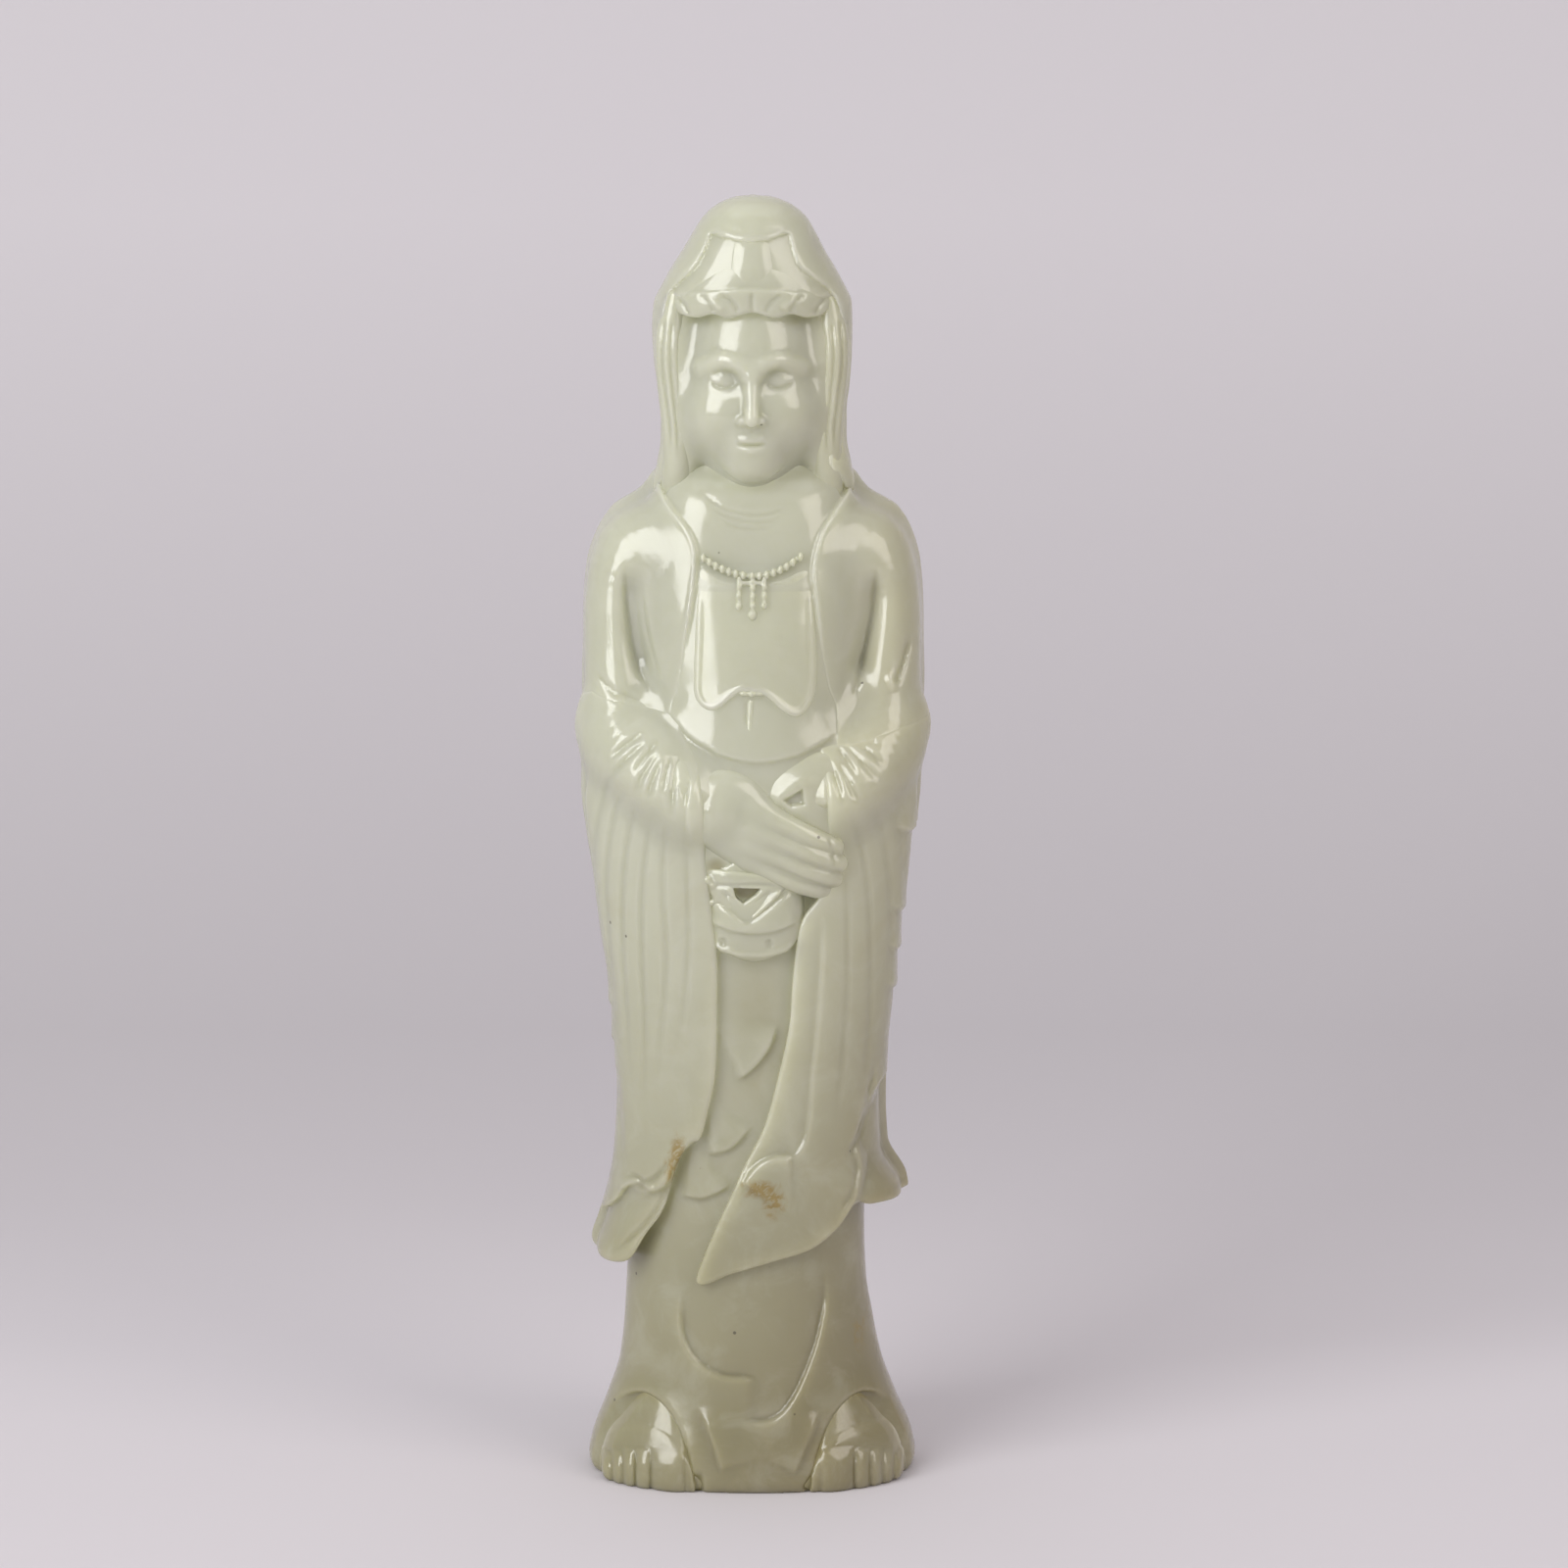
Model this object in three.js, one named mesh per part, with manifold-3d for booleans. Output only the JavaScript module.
// A standing robed figurine, carved in the round from one block of pale green jade.
// Each carved feature is its own closed solid. Neighbours are parted by a narrow gap along the carved lines.
// Millimetres, +Z up. The figure faces -Y, and its own left hand is on +X.
import * as THREE from "three";
import { LoftGeometry } from "three/addons/geometries/LoftGeometry.js";
import { mergeVertices } from "three/addons/utils/BufferGeometryUtils.js";
import Module from "manifold-3d";

const wasm = await Module();
wasm.setup();

// Driving dimensions.
const HEIGHT = 180;
const GAP = 0.3; // left between neighbouring carved features
const CHIN_Z = 141;
const SHOULDER_Z = 139.5;
const ELBOW_Z = 109.5;
const WAIST_Z = 90;
const FACE_HALF_WIDTH = 9.3;
const SKIRT_DEPTH = 14.1; // from the middle to the front of the lower robe
const SLEEVE_DEPTH = 15.8; // the hanging sleeves stand proud of the lower robe
const TOE_HEIGHT = 6;
const CUTTER_DEPTH = 60; // longer than the figure is deep
const SECTION_SIDES = 36;
const LIMB_SIDES = 10;
const RINGS_PER_SPAN = 1;
const SIMPLIFY = 0.05; // flat-enough triangles are merged within this distance

const JADE = { color: 0xc9cbb6, roughness: 0.18, metalness: 0 };

// ---- Shapes --------------------------------------------------------------------------------------------------

function solidOf(geometry) {
  const bare = geometry.index ? geometry.toNonIndexed() : geometry.clone();
  bare.deleteAttribute("normal");
  bare.deleteAttribute("uv");
  const merged = mergeVertices(bare, 1e-4);
  const vertProperties = merged.attributes.position.array;
  const triVerts = new Uint32Array(merged.index.array);
  return new wasm.Manifold(new wasm.Mesh({ numProp: 3, vertProperties, triVerts }));
}

// A smooth value at t from 0 to 1 through a list of numbers.
function smoothValue(values, t) {
  const curve = new THREE.CatmullRomCurve3(values.map((v, i) => new THREE.Vector3(i, v, 0)), false, "centripetal");
  return curve.getPoint(t).y;
}

// An upright body through stations { z, w, f, b, x, y, n }: half width, depth in front and behind, middle, squareness.
function upright(stations, grow = 0) {
  const spans = stations.length - 1;
  const rings = spans * RINGS_PER_SPAN;
  const read = (key, usual) => stations.map((s) => s[key] ?? usual);
  const columns = {
    w: read("w", 0),
    f: read("f", 0),
    b: read("b", 0),
    x: read("x", 0),
    y: read("y", 0),
    n: read("n", 2.2),
  };
  const bottom = stations[0].z - grow;
  const top = stations[spans].z + grow;
  const sections = [];
  for (let ring = 0; ring <= rings; ring++) {
    const t = ring / rings;
    const at = Object.fromEntries(Object.entries(columns).map(([key, values]) => [key, smoothValue(values, t)]));
    const z = THREE.MathUtils.clamp(smoothValue(read("z", 0), t), bottom, top);
    const height = ring === 0 ? bottom : ring === rings ? top : z;
    const section = [];
    for (let i = 0; i < SECTION_SIDES; i++) {
      const angle = (i / SECTION_SIDES) * 2 * Math.PI;
      const cos = Math.cos(angle);
      const sin = Math.sin(angle);
      const depth = (sin < 0 ? at.f : at.b) + grow;
      const x = Math.sign(cos) * Math.abs(cos) ** (2 / at.n) * (at.w + grow);
      const y = Math.sign(sin) * Math.abs(sin) ** (2 / at.n) * depth;
      section.push(new THREE.Vector3(at.x + x, at.y + y, height));
    }
    sections.push(section);
  }
  return solidOf(new LoftGeometry(sections, { capStart: true, capEnd: true }));
}

// A round limb along points [x, y, z, radius], with domed ends.
function limb(points, grow = 0) {
  const path = new THREE.CatmullRomCurve3(points.map(([x, y, z]) => new THREE.Vector3(x, y, z)), false, "centripetal");
  const radii = points.map((p) => p[3] + grow);
  const steps = Math.max(3, (points.length - 1) * 2);
  const frames = path.computeFrenetFrames(steps, false);
  const sections = [];
  const addRing = (step, forward, radius) => {
    const centre = path.getPointAt(step / steps).addScaledVector(frames.tangents[step], forward);
    const ring = [];
    for (let i = 0; i < LIMB_SIDES; i++) {
      const angle = (i / LIMB_SIDES) * 2 * Math.PI;
      const out = frames.normals[step].clone().multiplyScalar(Math.cos(angle));
      out.addScaledVector(frames.binormals[step], Math.sin(angle));
      ring.push(centre.clone().addScaledVector(out, radius));
    }
    sections.push(ring);
  };
  const dome = [75, 40].map((degrees) => THREE.MathUtils.degToRad(degrees));
  const first = radii[0];
  const last = radii[radii.length - 1];
  dome.forEach((a) => addRing(0, -first * Math.sin(a), first * Math.cos(a)));
  for (let step = 0; step <= steps; step++) {
    addRing(step, 0, smoothValue(radii, step / steps));
  }
  dome.reverse().forEach((a) => addRing(steps, last * Math.sin(a), last * Math.cos(a)));
  return solidOf(new LoftGeometry(sections, { capStart: true, capEnd: true }));
}

// A straight cut seen from the front: the outline [x, z] pushed through from y = front to y = back.
function frontCut(outline, grow = 0, front = -CUTTER_DEPTH / 2, back = CUTTER_DEPTH / 2) {
  const shape = new THREE.Shape(outline.map(([x, z]) => new THREE.Vector2(x, z)));
  const bevel = { bevelEnabled: grow > 0, bevelSize: grow, bevelThickness: grow, bevelSegments: 1 };
  const geometry = new THREE.ExtrudeGeometry(shape, { depth: back - front, ...bevel });
  geometry.rotateX(Math.PI / 2); // the extrusion now runs towards -Y
  geometry.translate(0, back, 0);
  return solidOf(geometry);
}

const mirrored = (points) => points.map(([x, ...rest]) => [-x, ...rest]);

function joined(solids) {
  return solids.reduce((all, solid) => all.add(solid));
}

// What is left of a solid once its neighbours are taken away: its largest body.
function without(solid, neighbours) {
  const left = neighbours.reduce((rest, other) => rest.subtract(other), solid);
  return left.decompose().reduce((a, b) => (a.volume() > b.volume() ? a : b));
}

function feature(name, solid) {
  const { vertProperties, triVerts } = solid.simplify(SIMPLIFY).getMesh();
  const geometry = new THREE.BufferGeometry();
  geometry.setAttribute("position", new THREE.BufferAttribute(new Float32Array(vertProperties), 3));
  geometry.setIndex(new THREE.BufferAttribute(triVerts, 1));
  geometry.computeVertexNormals();
  const mesh = new THREE.Mesh(geometry, new THREE.MeshStandardMaterial(JADE));
  mesh.name = name;
  return mesh;
}

// ---- Robes ---------------------------------------------------------------------------------------------------

const lowerRobe = (grow) =>
  upright(
    [
      { z: 0, w: 22.8, f: 16.9, b: 14.4 },
      { z: 2.5, w: 23.1, f: 17.2, b: 14.6 },
      { z: 7, w: 21.9, f: 16.6, b: 14.2 },
      { z: 13, w: 19.6, f: 15.5, b: 13.8 },
      { z: 20, w: 17.7, f: 14.7, b: 13.4, x: -0.6 },
      { z: 30, w: 16.8, f: SKIRT_DEPTH, b: 13.1, x: -0.9 },
      { z: 45, w: 16.2, f: SKIRT_DEPTH, b: 12.9, x: -0.3 },
      { z: 70, w: 15.4, f: SKIRT_DEPTH, b: 12.9 },
      { z: WAIST_Z, w: 14.8, f: SKIRT_DEPTH, b: 12.9 },
    ],
    grow,
  );

const torso = (grow) =>
  upright(
    [
      { z: WAIST_Z + GAP, w: 14.8, f: 14.1, b: 12.9 },
      { z: 97, w: 14.8, f: 14.5, b: 12.8 },
      { z: 105, w: 14.6, f: 14.4, b: 12.4 },
      { z: 114, w: 14, f: 13.2, b: 11.6 },
      { z: 124, w: 13.4, f: 11.8, b: 10.8 },
      { z: 132, w: 12, f: 10, b: 9.6 },
      { z: 137, w: 9, f: 8.4, b: 8 },
    ],
    grow,
  );

// The shoulders and upper arms under the outer robe.
const shoulders = (grow) =>
  upright(
    [
      { z: ELBOW_Z - 3, w: 23.4, f: 12.6, b: 13.2, n: 2.5 },
      { z: ELBOW_Z + 2.5, w: 24, f: 13.2, b: 13.6, n: 2.5 },
      { z: 119, w: 23.7, f: 13, b: 13.7, n: 2.5 },
      { z: 127, w: 23.1, f: 12.4, b: 13.3, n: 2.4 },
      { z: 132, w: 21.9, f: 11.4, b: 12.6, n: 2.4 },
      { z: 135.5, w: 19.9, f: 10.2, b: 11.8, n: 2.3 },
      { z: SHOULDER_Z, w: 15.6, f: 8.6, b: 10.6 },
    ],
    grow,
  );

// Where the outer robe hangs open over the chest and belly, seen from the front.
const chestOpening = [
  [-13.2, 144],
  [-11.7, 138],
  [-8.2, 133.7],
  [-7.5, 130.5],
  [-8.6, 123],
  [-10.4, 114],
  [-11.6, 109],
  [-11, 104],
  [11, 104],
  [11.9, 109],
  [10.6, 114],
  [9, 123],
  [8, 130.5],
  [8.8, 133.7],
  [12, 138],
  [13.6, 144],
];

const sleeveEnvelope = (grow) =>
  upright(
    [
      { z: 30, w: 23.6, f: 15.6, b: 11.8, n: 2.6 },
      { z: 36, w: 22.3, f: SLEEVE_DEPTH, b: 12.2, n: 2.6 },
      { z: 42, w: 20.6, f: SLEEVE_DEPTH, b: 12.4, n: 2.6 },
      { z: 50, w: 19.2, f: SLEEVE_DEPTH, b: 12.6, n: 2.6 },
      { z: 62, w: 19.4, f: SLEEVE_DEPTH, b: 12.8, n: 2.6 },
      { z: 76, w: 20.9, f: SLEEVE_DEPTH, b: 13.2, n: 2.6 },
      { z: 90, w: 22.7, f: SLEEVE_DEPTH, b: 13.4, n: 2.6 },
      { z: 102, w: 24.2, f: 15.4, b: 13.4, n: 2.6 },
      { z: ELBOW_Z - 3 - GAP, w: 23.7, f: 14.2, b: 13.2, n: 2.6 },
    ],
    grow,
  );

// The hanging sleeves, seen from the front: inner edge, hem, and the tip that flares at the side.
const rightSleeveOutline = [
  [-11, 108],
  [-8, 103.5],
  [-6.4, 97],
  [-5.8, 88],
  [-4.9, 78],
  [-4.8, 64],
  [-5.3, 57],
  [-7.3, 50],
  [-10.5, 46.8],
  [-13, 42.4],
  [-15, 37],
  [-17.6, 31.6],
  [-21.8, 31.4],
  [-23.4, 32.6],
  [-26, 40],
  [-26, 108],
];

const rightSleeveBack = [
  [-13, 108],
  [-13.6, 80],
  [-14.8, 50],
  [-17.6, 31.6],
  [-21.8, 31.4],
  [-23.4, 32.6],
  [-26, 40],
  [-26, 108],
];

const leftSleeveOutline = [
  [11, 108],
  [26, 108],
  [26, 46],
  [21.3, 41.2],
  [18.2, 40],
  [14.6, 40.8],
  [11.9, 37.4],
  [8.2, 34.6],
  [3, 32.9],
  [-3.1, 31],
  [-7.7, 29.4],
  [-6.2, 35],
  [-3.1, 42],
  [-1.2, 46.2],
  [1.7, 52.3],
  [4.2, 60],
  [5.4, 68],
  [6.2, 78],
  [11.4, 84],
  [13, 92],
  [10.4, 100],
];

const leftSleeveBack = [
  [13, 108],
  [26, 108],
  [26, 46],
  [21.3, 41.2],
  [18.2, 40],
  [15, 41.6],
  [14, 60],
];

const sleeve = (front, back, grow) => {
  const reach = CUTTER_DEPTH / 2;
  const outline = frontCut(front, grow, -reach, 0).add(frontCut(back, grow, 0, reach));
  return sleeveEnvelope(grow).intersect(outline);
};

const rightSleeve = (grow) => sleeve(rightSleeveOutline, rightSleeveBack, grow);
const leftSleeve = (grow) => sleeve(leftSleeveOutline, leftSleeveBack, grow);

// ---- Head ----------------------------------------------------------------------------------------------------

const head = (grow) =>
  joined([
    upright(
      [
        { z: CHIN_Z, w: 4.6, f: 8.4, b: 3 },
        { z: CHIN_Z + 2.2, w: 6.8, f: 9.6, b: 6 },
        { z: 148, w: 8.5, f: 10.2, b: 8 },
        { z: 155, w: FACE_HALF_WIDTH, f: 10.5, b: 9 },
        { z: 161, w: FACE_HALF_WIDTH, f: 10.3, b: 9.4 },
        { z: 165.5, w: 8.6, f: 9.2, b: 9.2 },
      ],
      grow,
    ),
    limb(
      [
        [0, -9.6, 156, 0.9],
        [0, -10.5, 151.6, 1.1],
        [0, -10.6, 150.2, 1.2],
      ],
      grow,
    ),
    limb(
      [
        [0, 0, 137, 7],
        [0, 0.6, 140, 6.4],
        [0, 1.2, 147, 6],
      ],
      grow,
    ),
  ]);

const hairBand = (grow) =>
  upright(
    [
      { z: 165.5 + GAP, w: 9.6, f: 9.8, b: 9.2 },
      { z: 166.6, w: 9.8, f: 10.2, b: 9.2 },
      { z: 168, w: 8.9, f: 9.4, b: 8.8 },
    ],
    grow,
  );

const topknot = (grow) =>
  upright(
    [
      { z: 168 + GAP, w: 6, f: 8.6, b: 6 },
      { z: 170, w: 6.3, f: 8.9, b: 6 },
      { z: 173, w: 5.6, f: 7.9, b: 5.6 },
      { z: 174.6, w: 4.4, f: 6.4, b: 5 },
    ],
    grow,
  );

const hairLock = (side, grow) =>
  limb(
    [
      [side * 9.6, -4.6, 164, 1.6],
      [side * 11.2, -5, 158, 1.8],
      [side * 11, -4.6, 150, 1.8],
      [side * 10.2, -4.2, 144, 1.5],
    ],
    grow,
  );

const hood = (grow) =>
  upright(
    [
      { z: 137.6, w: 16.4, f: 9.4, b: 12.8, y: 0.4 },
      { z: 140.5, w: 14.4, f: 9.2, b: 12.6, y: 0.4 },
      { z: 146, w: 12.8, f: 9, b: 12.2, y: 0.4 },
      { z: 153, w: 13.2, f: 9.4, b: 12.2, y: 0.4 },
      { z: 160, w: 13.9, f: 9.8, b: 12, y: 0.4 },
      { z: 164.5, w: 13.8, f: 10.1, b: 11.6, y: 0.4 },
      { z: 168.5, w: 12.1, f: 9.9, b: 10.8, y: 0.4 },
      { z: 172.5, w: 9.7, f: 9, b: 9.6, y: 0.4 },
      { z: 176, w: 7.7, f: 7.2, b: 7.8, y: 0.4 },
      { z: 178.6, w: 5.2, f: 4.9, b: 5.3, y: 0.4 },
      { z: HEIGHT, w: 1.8, f: 1.7, b: 1.9, y: 0.4 },
    ],
    grow,
  );

const faceOpening = [
  [0, 173.6],
  [-5.4, 174.6],
  [-7.4, 171],
  [-10.4, 167.4],
  [-12.3, 162.6],
  [-12, 154],
  [-10.9, 146],
  [-11, 137],
  [11, 137],
  [10.9, 146],
  [12, 154],
  [12.3, 162.6],
  [10.4, 167.4],
  [7.4, 171],
  [5.4, 174.6],
];

// ---- Hands and basket ----------------------------------------------------------------------------------------

const FINGERS = 4;

const rightHand = (grow) => {
  const palm = limb(
    [
      [-6.4, -14.4, 96.6, 4.6],
      [-1.5, -15.2, 96.2, 4.8],
      [3.2, -15.6, 94.6, 4.2],
    ],
    grow,
  );
  const fingers = [...Array(FINGERS).keys()].map((i) =>
    limb(
      [
        [2.4, -17.6, 97 - 2.5 * i, 1.5],
        [6.6, -17.8, 95.4 - 2.5 * i, 1.5],
        [10.2 - 0.4 * i, -16.6, 93.6 - 2.3 * i, 1.3],
      ],
      grow,
    ),
  );
  return joined([palm, ...fingers]);
};

const leftHand = (grow) =>
  joined([
    limb(
      [
        [13.6, -12, 98, 3.6],
        [8, -14, 97, 3.6],
      ],
      grow,
    ),
    limb(
      [
        [10, -15, 100, 1.5],
        [7.6, -15.8, 101.6, 1.5],
        [4.2, -16, 100.4, 1.3],
      ],
      grow,
    ),
  ]);

const basket = (grow) =>
  upright(
    [
      { z: 75.4, w: 4.6, f: 3.2, b: 4, y: -13 },
      { z: 77, w: 5.9, f: 4.2, b: 4, y: -13 },
      { z: 80.5, w: 6.4, f: 4.8, b: 4, y: -13 },
      { z: 83.4, w: 6.1, f: 4.6, b: 4, y: -13 },
    ],
    grow,
  );

const basketHandle = (grow) =>
  joined([
    limb(
      [
        [-5.6, -15.6, 84.6, 0.9],
        [-5.4, -15.8, 88, 0.9],
        [-3, -15.8, 90.4, 0.9],
      ],
      grow,
    ),
    limb(
      [
        [-5.6, -15.6, 84.6, 1],
        [-0.6, -16, 86.9, 1],
        [4.6, -15.8, 85.6, 1],
      ],
      grow,
    ),
    limb(
      [
        [-5.2, -15.8, 85, 0.9],
        [-1.4, -16.4, 83.6, 0.9],
        [4.4, -15.8, 86.2, 0.9],
      ],
      grow,
    ),
  ]);

// ---- Chest ---------------------------------------------------------------------------------------------------

// The inner robe over the chest, with its scalloped lower edge.
const bodiceOutline = [
  [-7.2, 131],
  [-7.8, 122],
  [-8, 112.6],
  [-6.9, 110.6],
  [-5.2, 110.3],
  [-2.7, 112],
  [0, 112.9],
  [3, 111.6],
  [5.2, 109.7],
  [7.4, 109.9],
  [8.9, 113],
  [8.6, 122],
  [7.8, 131],
];

const bodice = (grow) => {
  const front = upright(
    [
      { z: 108, w: 14.6, f: 15, b: 11 },
      { z: 114, w: 14.4, f: 14.1, b: 11 },
      { z: 124, w: 13.8, f: 12.6, b: 10.6 },
      { z: 132, w: 12.4, f: 10.9, b: 9.6 },
    ],
    grow,
  );
  return front.intersect(frontCut(bodiceOutline, grow, -CUTTER_DEPTH / 2, -4));
};

// A shallow garland across the chest: depth follows the bodice as it falls.
const necklace = (grow) =>
  limb(
    [
      [-6.3, -11, 130.4, 0.55],
      [-3.4, -12.1, 129, 0.55],
      [0, -12.6, 128.4, 0.55],
      [3.4, -12.1, 129.1, 0.55],
      [6.5, -11, 130.6, 0.55],
    ],
    grow,
  );

const pendant = (grow) =>
  limb(
    [
      [0, -12.9, 126.9, 0.7],
      [0, -13.2, 125, 1.2],
      [0, -13.5, 123, 1],
    ],
    grow,
  );

const waistBow = (grow) =>
  limb(
    [
      [-1.2, -14.9, 112.3, 0.8],
      [-0.2, -15.2, 111.9, 0.9],
      [0.9, -14.9, 112.3, 0.8],
    ],
    grow,
  );

const waistTie = (grow) =>
  limb(
    [
      [-0.2, -15, 110, 0.6],
      [-0.3, -15.1, 107.6, 0.7],
    ],
    grow,
  );

// ---- Feet ----------------------------------------------------------------------------------------------------

const FOOT_X = 15;
const footOutline = [
  [-23.6, -1],
  [-23, 5.4],
  [-21, 9.4],
  [-18.4, 12.2],
  [-15.4, 13.4],
  [-12.8, 12.6],
  [-10.6, 10],
  [-9.2, 6.4],
  [-8.6, -1],
];

// A foot fills the arch that the robe's hem leaves open, and its toes stand on the ground.
const foot = (side, grow) => {
  const outline = side < 0 ? footOutline : mirrored(footOutline).reverse();
  const instep = upright(
    [
      { z: 0, w: 9, f: 16.8, b: 2, n: 2.6, x: side * FOOT_X },
      { z: TOE_HEIGHT, w: 8.2, f: 16, b: 2, n: 2.4, x: side * FOOT_X },
      { z: 13.8, w: 5, f: 12.6, b: 2, x: side * FOOT_X },
    ],
    grow,
  );
  return instep.intersect(frontCut(outline, grow, -CUTTER_DEPTH / 2, -3)).intersect(footRoom(grow));
};

// The ground outline of the figure, which the feet follow.
const footRoom = (grow) =>
  upright(
    [
      { z: 0, w: 22.8, f: 16.9, b: 14.4 },
      { z: 4, w: 22.9, f: 17, b: 14.4 },
      { z: 9, w: 21.2, f: 16, b: 14 },
      { z: 15, w: 18.9, f: 14.4, b: 13 },
    ],
    grow,
  );

const footNiche = (side) => {
  const outline = side < 0 ? footOutline : mirrored(footOutline).reverse();
  return frontCut(outline, GAP, -CUTTER_DEPTH / 2, -3 + GAP);
};

// ---- The figure ----------------------------------------------------------------------------------------------

const locks = [-1, 1].map((side) => hairLock(side, GAP));
const hands = [rightHand(GAP), leftHand(GAP)];
const onChest = [necklace(GAP), pendant(GAP), waistBow(GAP), waistTie(GAP)];
const sleeves = [rightSleeve(GAP), leftSleeve(GAP)];
const robeMantle = shoulders(0).subtract(frontCut(chestOpening, 0, -CUTTER_DEPTH / 2, 0));

const figure = new THREE.Group();
figure.add(
  feature("right_hand", rightHand(0)),
  feature("left_hand", without(leftHand(0), [rightHand(GAP)])),
  feature("basket", without(basket(0), hands)),
  feature("basket_handle", without(basketHandle(0), [...hands, basket(GAP)])),
  feature("necklace", necklace(0)),
  feature("pendant", without(pendant(0), [necklace(GAP)])),
  feature("waist_bow", waistBow(0)),
  feature("waist_tie", without(waistTie(0), [waistBow(GAP)])),
  feature("head", head(0)),
  feature("hair_band", without(hairBand(0), [head(GAP)])),
  feature("topknot", topknot(0)),
  ...[-1, 1].map((side) =>
    feature(side < 0 ? "right_hair_lock" : "left_hair_lock", without(hairLock(side, 0), [head(GAP), hairBand(GAP)])),
  ),
);

const hoodCuts = [frontCut(faceOpening, 0, -CUTTER_DEPTH / 2, -2), head(GAP), hairBand(GAP), topknot(GAP), ...locks];
figure.add(feature("hood", without(hood(0), hoodCuts)));

const bodiceSolid = without(bodice(0), [...onChest, head(GAP), torso(GAP), hood(GAP)]);
const mantleCuts = [torso(GAP), bodice(GAP), hood(GAP), head(GAP), ...sleeves, ...hands];
figure.add(
  feature("bodice", bodiceSolid),
  feature("mantle", without(robeMantle, mantleCuts)),
  feature("torso", without(torso(0), [...onChest, ...hands, ...sleeves, head(GAP), hood(GAP)])),
);

const sleeveCuts = [...hands, torso(GAP), lowerRobe(GAP), basket(GAP), basketHandle(GAP)];
figure.add(
  feature("right_sleeve", without(rightSleeve(0), sleeveCuts)),
  feature("left_sleeve", without(leftSleeve(0), sleeveCuts)),
);

for (const [side, name] of [[-1, "right_foot"], [1, "left_foot"]]) {
  figure.add(feature(name, foot(side, 0)));
}

const robeCuts = [footNiche(-1), footNiche(1), ...hands, basket(GAP), basketHandle(GAP)];
figure.add(feature("lower_robe", without(lowerRobe(0), robeCuts)));

// The base's middle stands at the origin.
const extent = new THREE.Box3().setFromObject(figure);
const middle = extent.getCenter(new THREE.Vector3());
figure.position.set(-middle.x, -middle.y, -extent.min.z);

const figurine = new THREE.Group();
figurine.add(figure);

export default figurine;
